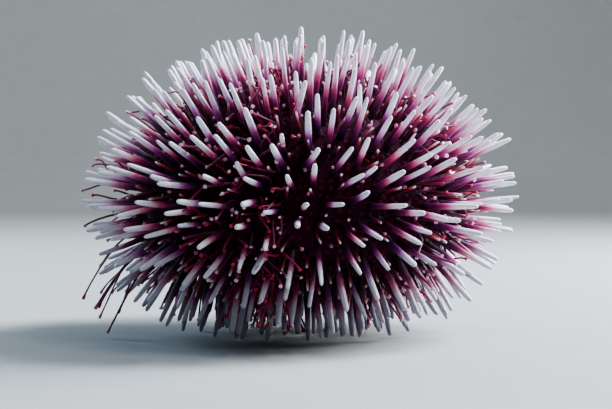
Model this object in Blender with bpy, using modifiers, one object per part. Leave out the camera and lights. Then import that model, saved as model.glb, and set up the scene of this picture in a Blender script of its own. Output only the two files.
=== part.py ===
"""Violet sea urchin, life size, standing on its lower spines. Metres, +Z up.

The shell is one turned body, parted by thin cuts into five ambulacra, which carry the tube feet,
and five interambulacra. Spines grow on all ten, square to the shell, in rows that go round it.
The apical disc and the anus close the top, and the mouth with its teeth the underside.
The origin is on the floor under the middle of the shell, and the front of the animal faces -Y.
"""

import math
import random

import bmesh
import bpy
import numpy as np
from mathutils import Matrix, Vector

# Driving dimensions of the shell
SHELL_RADIUS = 0.040
SHELL_RISE = 0.028  # from the widest level up to the apex
SHELL_DROP = 0.021  # from the widest level down to the mouth side
UPPER_POWER = 2.0  # a plain ellipse above the widest level
LOWER_POWER = 2.6  # flatter below it
SHELL_CLEARANCE = 0.0135  # from the floor to the lowest point of the shell
SHELL_FACETS = 50  # round the shell
SHELL_BANDS = 12  # down the shell

# Driving dimensions of the spines
SPINE_LENGTH = 0.016
MOUTH_SPINE_LENGTH = 0.0142  # the spines that the animal stands on
LOWEST_FULL_SPINE = 0.75  # share of the way down the shell where they start to shorten
SPINE_PITCH = 0.0054  # from spine to spine round the shell
ROW_PITCH = SPINE_PITCH * 0.87  # from row to row, each half a pitch out of step with the last
SPINE_ROOT_RADIUS = 0.00112  # to the corners of the four-sided spine
SPINE_TIP_RADIUS = 0.00078
SPINE_SIDES = 4
SPINE_LEAN = math.tan(math.radians(3.5))  # usual lean off the square
SPINE_DRIFT = 0.0007  # usual distance from its place in the row
SPINE_SHORTEST = 0.88  # share of the full length
SPINE_LONGEST = 1.02
ROOT_SINK = 0.0016  # how deep a root is sunk in what carries it
FLOOR_REACH = 0.0006  # a tip that comes this near the floor stands on it
LEAST_DOWNWARD = 0.5  # of the direction of a spine that stands on the floor

# Ten zones round the shell
FRONT_AMBULACRUM_DEG = -108.0  # the front of the animal is at -90
RAY_DEG = 72.0  # from one ambulacrum to the next
AMBULACRUM_FACETS = 4
INTERAMBULACRUM_FACETS = 6
GAP = 0.0003  # between neighbouring nodes
SIDE_MARGIN = GAP / 2 + 0.0001  # from a spine's surface to the side of its zone

# Tube feet, longer on the ambulacrum at the animal's left edge
FEET_ON_EACH_SIDE = 3
FEET_START = 0.14  # share of the way down the shell
FEET_SPAN = 0.56
FOOT_RADIUS = 0.00042
FOOT_DISC_RADIUS = 0.0009
FOOT_DISC_THICKNESS = 0.0006
FOOT_DISC_TAPER = 0.8
FOOT_BENDS = 0.5, 0.8, 1.0  # shares of the length
FOOT_LENGTH = 0.0165
FOOT_LENGTH_SHARES = 0.9, 1.05  # shortest and longest
FOOT_SAG = 0.004
FOOT_SAG_SHARES = 0.5, 1.1
REACHING_ZONE = "ambulacrum_5"
REACHING_FOOT_LENGTH = 0.018
REACHING_FOOT_SAG = 0.015
FOOT_CLEARANCE = 0.002  # over the floor

# Apical disc
DISC_RADIUS = 0.0072
DISC_THICKNESS = 0.0016
DISC_FACETS = 20
PLATE_RISE = 0.0007
PLATE_SINK = 0.0006
GENITAL_RADIUS = 0.0021
GENITAL_SIDES = 6
GENITAL_PLACE = 0.0049  # from the middle of the disc
OCULAR_RADIUS = 0.0013
OCULAR_SIDES = 5
OCULAR_PLACE = 0.0057
PLATE_TAPER = 0.75
DISC_SPINE_DEGS = -22, 0, 22  # off the middle of each genital plate
DISC_SPINE_LENGTH = 0.0072
DISC_SPINE_RADIUS = 0.00062
DISC_SPINE_TAPER = 0.75
ANUS_RADIUS = 0.0026
ANUS_RISE = 0.0012
ANUS_LIP_RADIUS = 0.0012
ANUS_HOLE_RADIUS = 0.0006

# Mouth field
MOUTH_FIELD_RADIUS = 0.0120
MEMBRANE_THICKNESS = 0.0016
MEMBRANE_FACETS = 30
LIP_RADIUS = 0.0042
LIP_WIDTH = 0.0014
LIP_DROP = 0.0014
JAW_DROP = 0.0014
TOOTH_LENGTH = 0.0062
TOOTH_WIDTH = 0.0013
TOOTH_TIP_WIDTH = 0.00045
GILL_LENGTH = 0.0030
GILL_RADIUS = 0.0007
GILL_TIP_RADIUS = 0.0004
GILL_DEG = 20  # from the middle of the ambulacrum
GILL_SPREAD_DEG = 5
MOUTH_FOOT_LENGTH = 0.0052
MOUTH_FOOT_PLACE = 0.0070  # from the middle of the mouth
MOUTH_FOOT_DEG = 13

WIDEST_LEVEL = SHELL_CLEARANCE + SHELL_DROP
WIDEST_REACH = SHELL_RADIUS + SPINE_LENGTH  # from the middle, for spines and feet alike
FACET_DEG = 360 / SHELL_FACETS
SMOOTH_BELOW = math.radians(30)
MERGE = 0.00001
FAR = 0.2  # well past the animal
SEED = 11


def clear_scene():
    for obj in list(bpy.data.objects):
        bpy.data.objects.remove(obj, do_unlink=True)


def make_collection(name):
    collection = bpy.data.collections.new(name)
    bpy.context.scene.collection.children.link(collection)
    return collection


def make_material(name, color, roughness):
    material = bpy.data.materials.new(name)
    material.use_nodes = True
    shader = material.node_tree.nodes["Principled BSDF"]
    shader.inputs["Base Color"].default_value = (*color, 1.0)
    shader.inputs["Roughness"].default_value = roughness
    shader.inputs["Metallic"].default_value = 0.0
    return material


def mesh_object(name, bm, collection):
    mesh = bpy.data.meshes.new(name)
    bm.to_mesh(mesh)
    bm.free()
    obj = bpy.data.objects.new(name, mesh)
    collection.objects.link(obj)
    return obj


def evaluated_mesh(obj):
    graph = bpy.context.evaluated_depsgraph_get()
    return bpy.data.meshes.new_from_object(obj.evaluated_get(graph))


def apply_modifiers(obj):
    made = evaluated_mesh(obj)
    obj.modifiers.clear()
    obj.data = made


def combine(obj, operand, operation, solver="EXACT"):
    """Applies one Boolean with an object or a collection, and removes what it used."""
    boolean = obj.modifiers.new(operation.title(), "BOOLEAN")
    boolean.operation = operation
    boolean.solver = solver
    if isinstance(operand, bpy.types.Collection):
        boolean.operand_type = "COLLECTION"
        boolean.collection = operand
        spent = list(operand.objects)
    else:
        boolean.object = operand
        spent = [operand]
    apply_modifiers(obj)
    for used in spent:
        bpy.data.objects.remove(used, do_unlink=True)
    if isinstance(operand, bpy.types.Collection):
        bpy.data.collections.remove(operand)


def keep_largest_surface(obj):
    """Drops every closed surface of the mesh but the one with the most faces."""
    bm = bmesh.new()
    bm.from_mesh(obj.data)
    unseen = set(bm.faces)
    surfaces = []
    while unseen:
        surface = []
        front = [unseen.pop()]
        while front:
            face = front.pop()
            surface.append(face)
            near = {other for edge in face.edges for other in edge.link_faces} & unseen
            unseen -= near
            front.extend(near)
        surfaces.append(surface)
    surfaces.sort(key=len)
    for surface in surfaces[:-1]:
        bmesh.ops.delete(bm, geom=surface, context="FACES")
    bm.to_mesh(obj.data)
    bm.free()


def finish(obj, material):
    keep_largest_surface(obj)
    obj.data.materials.clear()
    obj.data.materials.append(material)
    obj.data.shade_smooth()
    obj.data.set_sharp_from_angle(angle=SMOOTH_BELOW)


def shell_profile(count):
    """Rows of (radius, height, outward normal) at even steps from the disc's rim to the mouth field's."""
    samples = 4000
    angle = np.linspace(math.pi / 2, -math.pi / 2, samples)
    upper = angle > 0
    power = np.where(upper, UPPER_POWER, LOWER_POWER)
    depth = np.where(upper, SHELL_RISE, SHELL_DROP)
    radius = SHELL_RADIUS * np.abs(np.cos(angle)) ** (2 / power)
    height = np.sign(angle) * depth * np.abs(np.sin(angle)) ** (2 / power)
    normal_r = (radius / SHELL_RADIUS) ** (power - 1) / SHELL_RADIUS
    normal_z = np.sign(angle) * (np.abs(height) / depth) ** (power - 1) / depth
    length = np.hypot(normal_r, normal_z)
    travelled = np.concatenate([[0], np.cumsum(np.hypot(np.diff(radius), np.diff(height)))])
    start = np.interp(DISC_RADIUS + GAP, radius[upper], travelled[upper])
    end = travelled[~upper][np.argmax(radius[~upper] < MOUTH_FIELD_RADIUS + GAP)]
    wanted = np.linspace(start, end, count)
    columns = (radius, height + WIDEST_LEVEL, normal_r / length, normal_z / length)
    return np.stack([np.interp(wanted, travelled, column) for column in columns], axis=1)


PROFILE = shell_profile(400)
PROFILE_LENGTH = np.hypot(*np.diff(PROFILE[:, :2], axis=0).T).sum()


def shell_at(share, azimuth):
    """Point and outward normal of the shell, share of the way down it, azimuth in radians."""
    steps = np.linspace(0, 1, len(PROFILE))
    radius, height, normal_r, normal_z = (np.interp(share, steps, column) for column in PROFILE.T)
    point = Vector((radius * math.cos(azimuth), radius * math.sin(azimuth), height))
    normal = Vector((normal_r * math.cos(azimuth), normal_r * math.sin(azimuth), normal_z))
    return point, normal


def around(radius, azimuth_deg, height):
    azimuth = math.radians(azimuth_deg)
    return Vector((radius * math.cos(azimuth), radius * math.sin(azimuth), height))


def turned(name, outline, facets, collection):
    """A solid turned round +Z from (radius, height) points that run down its outer side."""
    bm = bmesh.new()
    verts = [bm.verts.new((radius, 0.0, height)) for radius, height in outline]
    for upper, lower in zip(verts, verts[1:]):
        bm.edges.new((upper, lower))
    obj = mesh_object(name, bm, collection)
    screw = obj.modifiers.new("Turn", "SCREW")
    screw.steps = facets
    screw.render_steps = facets
    screw.use_merge_vertices = True
    screw.merge_threshold = MERGE
    weld = obj.modifiers.new("Close", "WELD")
    weld.merge_threshold = MERGE
    apply_modifiers(obj)
    return obj


def rod(start, end, start_radius, end_radius, sides, turn, collection):
    """A closed tapered rod between two points, turned about its own axis."""
    along = end - start
    place = (
        Matrix.Translation((start + end) / 2)
        @ along.to_track_quat("Z", "Y").to_matrix().to_4x4()
        @ Matrix.Rotation(turn, 4, "Z")
    )
    bm = bmesh.new()
    bmesh.ops.create_cone(
        bm,
        cap_ends=True,
        segments=sides,
        radius1=start_radius,
        radius2=end_radius,
        depth=along.length,
        matrix=place,
    )
    return mesh_object("rod", bm, collection)


def tube_foot(line, collection):
    """A closed four-sided stalk along a few points, with a sucking disc on its end."""
    curve = bpy.data.curves.new("stalk", "CURVE")
    curve.dimensions = "3D"
    curve.bevel_depth = FOOT_RADIUS
    curve.bevel_resolution = 0
    curve.use_fill_caps = True
    spline = curve.splines.new("POLY")
    spline.points.add(len(line) - 1)
    for place, point in zip(spline.points, line):
        place.co = (*point, 1.0)
    guide = bpy.data.objects.new("stalk_line", curve)
    collection.objects.link(guide)
    bm = bmesh.new()
    bm.from_mesh(evaluated_mesh(guide))
    bmesh.ops.remove_doubles(bm, verts=bm.verts, dist=MERGE)
    bpy.data.objects.remove(guide, do_unlink=True)
    mesh_object("stalk", bm, collection)
    ending = (line[-1] - line[-2]).normalized() * FOOT_DISC_THICKNESS
    back = line[-1] - ending / 2
    radii = FOOT_DISC_RADIUS * FOOT_DISC_TAPER, FOOT_DISC_RADIUS
    rod(back, back + ending, *radii, OCULAR_SIDES, 0, collection)


def sector_cutter(centre_deg, half_deg, collection):
    """A wedge round +Z that stops half a gap short of each side of its zone."""
    half = math.radians(half_deg)
    tip = GAP / 2 / math.sin(half)
    side = (FAR - tip) * math.tan(half)
    bm = bmesh.new()
    corners = [(tip, 0), (FAR, -side), (FAR, side)]
    face = bm.faces.new([bm.verts.new((x, y, -FAR)) for x, y in corners])
    risen = bmesh.ops.extrude_face_region(bm, geom=[face])["geom"]
    lid = [item for item in risen if isinstance(item, bmesh.types.BMVert)]
    bmesh.ops.translate(bm, vec=(0, 0, 2 * FAR), verts=lid)
    bmesh.ops.recalc_face_normals(bm, faces=bm.faces)
    turn = Matrix.Rotation(math.radians(centre_deg), 3, "Z")
    bmesh.ops.rotate(bm, verts=bm.verts, matrix=turn)
    return mesh_object("sector_cutter", bm, collection)


def floor_cutter(collection):
    """Everything below the floor."""
    bm = bmesh.new()
    place = Matrix.Translation((0, 0, -FAR)) @ Matrix.Diagonal((2 * FAR, 2 * FAR, 2 * FAR, 1))
    bmesh.ops.create_cube(bm, size=1.0, matrix=place)
    return mesh_object("floor_cutter", bm, collection)


def zones():
    """Name, middle and half width in degrees of each zone, going round the shell."""
    for number in range(5):
        middle = FRONT_AMBULACRUM_DEG + RAY_DEG * number
        yield f"ambulacrum_{number + 1}", middle, AMBULACRUM_FACETS / 2 * FACET_DEG
        middle += RAY_DEG / 2
        yield f"interambulacrum_{number + 1}", middle, INTERAMBULACRUM_FACETS / 2 * FACET_DEG


def held_inside(point, half, radius):
    """The point, in its zone's own frame, moved sideways so that a rod of this radius stays in the zone."""
    room = (point.x * math.sin(half) - radius - SIDE_MARGIN) / math.cos(half)
    return Vector((point.x, max(-room, min(room, point.y)), point.z))


def spine_sites(half):
    """(azimuth off the zone's middle, share of the way down the shell) of each spine of a zone."""
    rows = round(PROFILE_LENGTH / ROW_PITCH)
    for row in range(rows):
        share = (row + 0.5) / rows
        point, _ = shell_at(share, 0)
        count = max(1, round(2 * half * point.x / SPINE_PITCH))
        step = 0.25 if row % 2 else -0.25
        for place in range(count):
            yield half * (2 * (place + 0.5 + step) / count - 1), share


def spine_ends(azimuth, share, half, chance):
    """Sunk root and tip of one spine, in its zone's own frame."""
    share += chance.gauss(0, SPINE_DRIFT) / PROFILE_LENGTH
    point, normal = shell_at(share, azimuth + chance.gauss(0, SPINE_DRIFT) / SHELL_RADIUS)
    lean = Vector([chance.gauss(0, SPINE_LEAN) for _ in range(3)])
    direction = (normal + lean).normalized()
    full = np.interp(share, [LOWEST_FULL_SPINE, 1], [SPINE_LENGTH, MOUTH_SPINE_LENGTH])
    tip = point + direction * full * chance.uniform(SPINE_SHORTEST, SPINE_LONGEST)
    tip -= direction * max(0.0, math.hypot(tip.x, tip.y) - WIDEST_REACH)
    if tip.z < FLOOR_REACH:
        tip = point + direction * (point.z + FLOOR_REACH) / max(-direction.z, LEAST_DOWNWARD)
    root = point - normal * ROOT_SINK
    if math.hypot(tip.x, tip.y) < math.hypot(root.x, root.y):
        tip.x, tip.y = root.x, root.y  # upright, clear of the disc and the mouth field
    return held_inside(root, half, SPINE_ROOT_RADIUS), held_inside(tip, half, SPINE_TIP_RADIUS)


def add_spines(pieces, centre_deg, half_deg, chance):
    turn = Matrix.Rotation(math.radians(centre_deg), 3, "Z")
    half = math.radians(half_deg)
    for azimuth, share in spine_sites(half):
        root, tip = spine_ends(azimuth, share, half, chance)
        twist = chance.uniform(0, math.pi)
        radii = SPINE_ROOT_RADIUS, SPINE_TIP_RADIUS
        rod(turn @ root, turn @ tip, *radii, SPINE_SIDES, twist, pieces)


def add_feet(pieces, name, centre_deg, half_deg, chance):
    """Two columns of tube feet between the spines of an ambulacrum."""
    reaching = name == REACHING_ZONE
    full = REACHING_FOOT_LENGTH if reaching else FOOT_LENGTH
    droop = REACHING_FOOT_SAG if reaching else FOOT_SAG
    for side in (-1, 1):
        for number in range(FEET_ON_EACH_SIDE):
            share = FEET_START + FEET_SPAN * (number + 0.5 + 0.25 * side) / FEET_ON_EACH_SIDE
            point, normal = shell_at(share, math.radians(centre_deg + side * half_deg / 2))
            length = full * chance.uniform(*FOOT_LENGTH_SHARES)
            sag = droop * chance.uniform(*FOOT_SAG_SHARES)
            line = [point - normal * ROOT_SINK]
            for along in FOOT_BENDS:
                bend = point + normal * length * along - Vector((0, 0, sag * along**2))
                bend.z = max(bend.z, FOOT_CLEARANCE)
                inward = min(1.0, (WIDEST_REACH - FOOT_DISC_RADIUS) / math.hypot(bend.x, bend.y))
                line.append(Vector((bend.x * inward, bend.y * inward, bend.z)))
            tube_foot(line, pieces)


def seat_levels():
    """Heights of the flat seats that the apical disc and the mouth membrane lie on."""
    return PROFILE[0][1] - DISC_THICKNESS, PROFILE[-1][1] + MEMBRANE_THICKNESS


def make_zones(collection, cutters, material):
    top, bottom = seat_levels()
    outline = [(0.0, top), (DISC_RADIUS + GAP, top)]
    outline += [(radius, height) for radius, height, *_ in shell_profile(SHELL_BANDS + 1)]
    outline += [(MOUTH_FIELD_RADIUS + GAP, bottom), (0.0, bottom)]
    chance = random.Random(SEED)
    for name, centre_deg, half_deg in zones():
        body = turned(name, outline, SHELL_FACETS, collection)
        combine(body, sector_cutter(centre_deg, half_deg, cutters), "INTERSECT")
        pieces = make_collection("spines_of_" + name)
        add_spines(pieces, centre_deg, half_deg, chance)
        if name.startswith("ambulacrum"):
            add_feet(pieces, name, centre_deg, half_deg, chance)
        combine(body, pieces, "UNION", "MANIFOLD")
        combine(body, floor_cutter(cutters), "DIFFERENCE", "MANIFOLD")
        finish(body, material)


def make_disc(collection, material):
    """Five large genital plates, which carry short spines, and five small ocular plates."""
    seat, _ = seat_levels()
    back = seat + GAP
    face = seat + DISC_THICKNESS
    inner = ANUS_RADIUS + GAP
    outline = [(inner, back), (inner, face), (DISC_RADIUS, face), (DISC_RADIUS, back), (inner, back)]
    disc = turned("apical_disc", outline, DISC_FACETS, collection)
    pieces = make_collection("plates_of_disc")
    for number in range(5):
        ray = FRONT_AMBULACRUM_DEG + RAY_DEG * number
        turn = math.radians(ray)
        plates = (
            (GENITAL_PLACE, ray + RAY_DEG / 2, GENITAL_RADIUS, GENITAL_SIDES),
            (OCULAR_PLACE, ray, OCULAR_RADIUS, OCULAR_SIDES),
        )
        for place, azimuth_deg, radius, sides in plates:
            low = around(place, azimuth_deg, face - PLATE_SINK)
            high = around(place, azimuth_deg, face + PLATE_RISE)
            rod(low, high, radius, radius * PLATE_TAPER, sides, turn, pieces)
        for off_deg in DISC_SPINE_DEGS:
            azimuth_deg = ray + RAY_DEG / 2 + off_deg
            low = around(OCULAR_PLACE, azimuth_deg, face - PLATE_SINK)
            high = around(OCULAR_PLACE + DISC_SPINE_RADIUS, azimuth_deg, face + DISC_SPINE_LENGTH)
            radii = DISC_SPINE_RADIUS, DISC_SPINE_RADIUS * DISC_SPINE_TAPER
            rod(low, high, *radii, SPINE_SIDES, turn, pieces)
    combine(disc, pieces, "UNION", "MANIFOLD")
    finish(disc, material)


def make_anus(collection, material):
    """A low cone inside the disc, with the opening at its middle."""
    seat, _ = seat_levels()
    back = seat + GAP
    edge = seat + DISC_THICKNESS
    outline = [(0.0, edge), (ANUS_HOLE_RADIUS, edge), (ANUS_HOLE_RADIUS, edge + ANUS_RISE)]
    outline += [(ANUS_LIP_RADIUS, edge + ANUS_RISE), (ANUS_RADIUS, edge), (ANUS_RADIUS, back)]
    outline += [(0.0, back)]
    finish(turned("periproct", outline, DISC_FACETS, collection), material)


def make_membrane(collection, material):
    """Mouth membrane and its lip, with gills at its edge and short feet round the mouth, in pairs."""
    _, seat = seat_levels()
    back = seat - GAP
    face = seat - MEMBRANE_THICKNESS
    lip = face - LIP_DROP
    outline = [(LIP_RADIUS, back), (MOUTH_FIELD_RADIUS, back), (MOUTH_FIELD_RADIUS, face)]
    outline += [(LIP_RADIUS + LIP_WIDTH, lip), (LIP_RADIUS, lip), (LIP_RADIUS, back)]
    membrane = turned("peristome", outline, MEMBRANE_FACETS, collection)
    pieces = make_collection("gills_and_feet")
    gill_place = MOUTH_FIELD_RADIUS - GILL_RADIUS * 2
    for number in range(5):
        ray = FRONT_AMBULACRUM_DEG + RAY_DEG * number
        turn = math.radians(ray)
        for side in (-1, 1):
            for spread_deg in (-GILL_SPREAD_DEG, GILL_SPREAD_DEG):
                azimuth_deg = ray + side * GILL_DEG
                root = around(gill_place, azimuth_deg, face + PLATE_SINK)
                tip = around(gill_place, azimuth_deg + spread_deg, face - GILL_LENGTH)
                rod(root, tip, GILL_RADIUS, GILL_TIP_RADIUS, SPINE_SIDES, turn, pieces)
            azimuth_deg = ray + side * MOUTH_FOOT_DEG
            root = around(MOUTH_FOOT_PLACE, azimuth_deg, face)
            tip = around(MOUTH_FOOT_PLACE, azimuth_deg, face - MOUTH_FOOT_LENGTH)
            tube_foot([root, tip], pieces)
    combine(membrane, pieces, "UNION", "MANIFOLD")
    finish(membrane, material)


def make_teeth(collection, material):
    """Five teeth that meet in a point under the mouth, on the tip of the jaw that holds them."""
    _, seat = seat_levels()
    back = seat - GAP
    jaw_radius = LIP_RADIUS - GAP
    low = seat - MEMBRANE_THICKNESS - JAW_DROP
    outline = [(0.0, back), (jaw_radius, back), (jaw_radius, low + JAW_DROP)]
    outline += [(jaw_radius / 2, low), (0.0, low)]
    teeth = turned("lantern_teeth", outline, DISC_FACETS, collection)
    pieces = make_collection("teeth")
    for number in range(5):
        ray = FRONT_AMBULACRUM_DEG + RAY_DEG * (number + 0.5)
        root = around(jaw_radius / 2, ray, low + JAW_DROP)
        tip = around(TOOTH_TIP_WIDTH, ray, seat - TOOTH_LENGTH)
        rod(root, tip, TOOTH_WIDTH, TOOTH_TIP_WIDTH, SPINE_SIDES, math.radians(ray), pieces)
    combine(teeth, pieces, "UNION", "MANIFOLD")
    finish(teeth, material)


def main():
    clear_scene()
    urchin = make_collection("violet_sea_urchin")
    cutters = make_collection("cutters")
    spine_violet = make_material("spine_violet", (0.30, 0.08, 0.20), 0.5)
    plate_violet = make_material("plate_violet", (0.22, 0.06, 0.16), 0.6)
    membrane_brown = make_material("membrane_brown", (0.20, 0.07, 0.09), 0.5)
    tooth_white = make_material("tooth_white", (0.86, 0.82, 0.74), 0.3)
    make_zones(urchin, cutters, spine_violet)
    make_disc(urchin, plate_violet)
    make_anus(urchin, plate_violet)
    make_membrane(urchin, membrane_brown)
    make_teeth(urchin, tooth_white)


main()
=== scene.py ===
import math
import random

import bmesh
import bpy
import numpy as np
from mathutils import Matrix, Vector


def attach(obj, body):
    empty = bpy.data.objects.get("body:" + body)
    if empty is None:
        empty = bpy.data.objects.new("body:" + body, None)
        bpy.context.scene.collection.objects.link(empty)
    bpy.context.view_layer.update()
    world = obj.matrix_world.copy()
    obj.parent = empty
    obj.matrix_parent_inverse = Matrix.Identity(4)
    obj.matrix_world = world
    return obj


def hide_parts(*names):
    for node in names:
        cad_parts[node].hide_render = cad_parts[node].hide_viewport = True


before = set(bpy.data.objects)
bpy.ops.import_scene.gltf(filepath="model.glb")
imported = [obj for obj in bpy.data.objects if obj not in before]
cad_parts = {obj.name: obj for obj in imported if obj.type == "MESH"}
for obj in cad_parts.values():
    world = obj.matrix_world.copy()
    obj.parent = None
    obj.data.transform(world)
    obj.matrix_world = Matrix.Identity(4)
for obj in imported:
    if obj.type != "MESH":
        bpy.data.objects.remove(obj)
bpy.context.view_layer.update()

# the shell repeats the sizes of the frame's solids, in metres
shell = {
    "radius": 0.040,
    "rise": 0.028,
    "drop": 0.021,
    "upperPower": 2.0,
    "lowerPower": 2.6,
    "clearance": 0.0135,
    "discRadius": 0.0072,
    "discThickness": 0.0016,
    "mouthRadius": 0.0120,
    "membraneThickness": 0.0016,
    "gap": 0.0003,
    "frontRayDeg": -108.0,
    "rayHalfDeg": 14.4,
    "betweenHalfDeg": 21.6,
    "around": 200,  # faces of the skin, round and down
    "down": 64,
    "arcPoints": 4000,  # readings of the outline, and the rows kept for placing things on it
    "profileRows": 400,
}
widestLevel = shell["clearance"] + shell["drop"]


# rows of radius, height and outward normal, from the disc's rim to the mouth field's
def profileOfShell(count):
    angle = np.linspace(math.pi / 2, -math.pi / 2, shell["arcPoints"])
    upper = angle > 0
    power = np.where(upper, shell["upperPower"], shell["lowerPower"])
    depth = np.where(upper, shell["rise"], shell["drop"])
    radius = shell["radius"] * np.abs(np.cos(angle)) ** (2 / power)
    height = np.sign(angle) * depth * np.abs(np.sin(angle)) ** (2 / power)
    normalR = (radius / shell["radius"]) ** (power - 1) / shell["radius"]
    normalZ = np.sign(angle) * (np.abs(height) / depth) ** (power - 1) / depth
    size = np.hypot(normalR, normalZ)
    travelled = np.concatenate([[0], np.cumsum(np.hypot(np.diff(radius), np.diff(height)))])
    start = np.interp(shell["discRadius"] + shell["gap"], radius[upper], travelled[upper])
    rim = shell["mouthRadius"] + shell["gap"]
    end = travelled[~upper][np.argmax(radius[~upper] < rim)]
    wanted = np.linspace(start, end, count)
    columns = (radius, height + widestLevel, normalR / size, normalZ / size)
    return np.stack([np.interp(wanted, travelled, column) for column in columns], axis=1)


profile = profileOfShell(shell["profileRows"])
profileLength = np.hypot(*np.diff(profile[:, :2], axis=0).T).sum()


# a point of the shell and its normal, at this share of the way down
def shellAt(share, azimuth):
    steps = np.linspace(0, 1, len(profile))
    radius, height, normalR, normalZ = (np.interp(share, steps, column) for column in profile.T)
    point = np.array([radius * math.cos(azimuth), radius * math.sin(azimuth), height])
    normal = np.array([normalR * math.cos(azimuth), normalR * math.sin(azimuth), normalZ])
    return point, normal


def rayAngle(number):  # half numbers lie between two rays
    return math.radians(shell["frontRayDeg"] + 72 * number)


# name, middle azimuth and half width of each zone of the shell
zones = []
for number in range(5):
    zones.append((f"ambulacrum_{number + 1}", rayAngle(number), math.radians(shell["rayHalfDeg"])))
    between = rayAngle(number + 0.5)
    zones.append((f"interambulacrum_{number + 1}", between, math.radians(shell["betweenHalfDeg"])))


# modelling by hand: a ring is extruded step by step
def clearSelection():
    bpy.ops.object.select_all(action="DESELECT")


def ringForm(name, sides, steps, closeStart=False, closeEnd=True):
    clearSelection()
    fill = "NGON" if closeStart else "NOTHING"
    bpy.ops.mesh.primitive_circle_add(vertices=sides, radius=steps[0][0], fill_type=fill)
    form = bpy.context.object
    form.name = name
    bpy.ops.object.mode_set(mode="EDIT")
    bpy.ops.mesh.select_all(action="SELECT")
    bpy.ops.transform.translate(value=(0, 0, steps[0][1]))
    if closeStart:  # only the rim goes on
        bpy.ops.mesh.region_to_loop()
    for (radius, level), (nextRadius, nextLevel) in zip(steps, steps[1:]):
        move = {"value": (0, 0, nextLevel - level)}
        bpy.ops.mesh.extrude_region_move(TRANSFORM_OT_translate=move)
        grow = nextRadius / radius
        bpy.ops.transform.resize(value=(grow, grow, 1), center_override=(0, 0, nextLevel))
    if closeEnd:
        bpy.ops.mesh.edge_face_add()
    bpy.ops.mesh.select_all(action="SELECT")
    bpy.ops.mesh.normals_make_consistent(inside=False)
    bpy.ops.object.mode_set(mode="OBJECT")
    bpy.ops.object.shade_smooth()
    return form


def dress(piece, material, slotName, *nodes):
    piece.data.materials.clear()
    piece.data.materials.append(material)
    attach(piece, "root")
    if nodes:
        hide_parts(*nodes)
    return piece


# a master is read once as arrays, then copied along bent axes into one joined mesh
def readMaster(form, collar):
    mesh = form.data
    verts = np.zeros(len(mesh.vertices) * 3)
    mesh.vertices.foreach_get("co", verts)
    verts = verts.reshape(-1, 3)
    faces = [tuple(face.vertices) for face in mesh.polygons]
    turn = np.arctan2(verts[:, 1], verts[:, 0]) / (2 * math.pi) % 1.0
    full = verts[:, 2].max()
    along = np.clip(verts[:, 2] / full, 0, 1)
    loopTurn = []
    for face in faces:
        turns = turn[list(face)]
        if turns.max() - turns.min() > 0.5:
            turns = np.where(turns < 0.5, turns + 1, turns)
        loopTurn.extend(turns)
    loopAlong = np.concatenate([along[list(face)] for face in faces])
    bpy.data.objects.remove(form, do_unlink=True)
    return {
        "verts": verts,
        "faces": faces,
        "along": along,
        "full": full,
        "collar": collar,
        "loopTurn": np.array(loopTurn),
        "loopAlong": loopAlong,
    }


curlWave = 1.6 * math.pi  # a curled copy swings to one side and then to the other
spinePatch = 0.030  # on a sector's own map, which is about ten times as fine as the whole shell's
finePatch = 0.022


# a copy's middle line, bent and curled, at these distances along it
def middleLine(copy, reach):
    share = np.clip(reach / copy["length"], 0, 1)[:, None]
    axis = copy["axis"] / np.linalg.norm(copy["axis"])
    bend = copy.get("bend", np.zeros(3))
    curl = copy.get("curl", np.zeros(3))
    line = copy["root"] + axis * reach[:, None] + bend * share**2 + curl * np.sin(curlWave * share) * share
    swing = np.sin(curlWave * share) + curlWave * share * np.cos(curlWave * share)
    tangent = axis + (bend * share * 2 + curl * swing) / copy["length"]
    return line, tangent / np.linalg.norm(tangent, axis=1)[:, None], axis


# bends a copy back where it would pass the floor or the widest reach
def keepInside(copy, lowest, widest):
    share = np.linspace(0.01, 1, 14)
    for _ in range(6):
        line = middleLine(copy, share * copy["length"])[0]
        under = lowest - line[:, 2]
        worst = int(np.argmax(under))
        if under[worst] > 0:
            copy["bend"][2] += under[worst] / share[worst] ** 2
        across = np.hypot(line[:, 0], line[:, 1])
        worst = int(np.argmax(across))
        if across[worst] > widest:
            pull = (across[worst] - widest) / share[worst] ** 2
            copy["bend"][:2] -= line[worst, :2] / across[worst] * pull


# the master's points laid along the copy's middle line
def bentCopy(master, copy):
    local = master["verts"]
    collar = master["collar"]
    stretch = (copy["length"] - collar) / (master["full"] - collar)
    reach = np.where(local[:, 2] > collar, collar + (local[:, 2] - collar) * stretch, local[:, 2])
    centre, tangent, axis = middleLine(copy, reach)
    across = np.cross(axis, [0.31, 0.17, 0.93] if abs(axis[2]) < 0.9 else [0.93, 0.17, 0.31])
    across = across - tangent * (tangent @ across)[:, None]
    across /= np.linalg.norm(across, axis=1)[:, None]
    other = np.cross(tangent, across)
    girth = copy["girth"]
    return centre + across * local[:, :1] * girth + other * local[:, 1:2] * girth


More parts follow.
